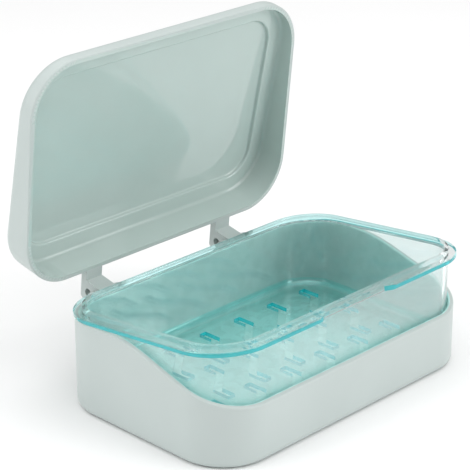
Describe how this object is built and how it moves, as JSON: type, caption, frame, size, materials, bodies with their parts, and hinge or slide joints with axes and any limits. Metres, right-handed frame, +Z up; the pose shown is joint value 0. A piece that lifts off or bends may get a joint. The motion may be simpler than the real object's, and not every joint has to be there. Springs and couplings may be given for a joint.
{
  "type": "travel soap box",
  "caption": "Rounded rectangular travel soap box with a swooping open rim, a clear hanging drain tray with zigzag slots and a hinged lid with a raised panel, standing open.",
  "frame": {"origin": "centre of the underside of the tub", "axes": "+Z up, +X along the long side, +Y towards the hinges at the back"},
  "size_m": [0.13, 0.1113, 0.1198],
  "materials": {
    "sage_plastic": "satin, fine moulded texture",
    "clear_aqua_plastic": "clear, polished",
    "pin_steel": "drawn wire"
  },
  "bodies": {
    "base": {"base_shell": "sage_plastic", "drain_tray": "clear_aqua_plastic", "hinge_pin_left": "pin_steel", "hinge_pin_right": "pin_steel"},
    "lid": {"lid_shell": "sage_plastic"}
  },
  "joints": [
    {"name": "lid_hinge", "type": "hinge", "parent": "base", "child": "lid", "pos_m": [0, 0.04905, 0.02679], "axis": [1, 0, 0], "range_deg": [0, 77.8]}
  ]
}
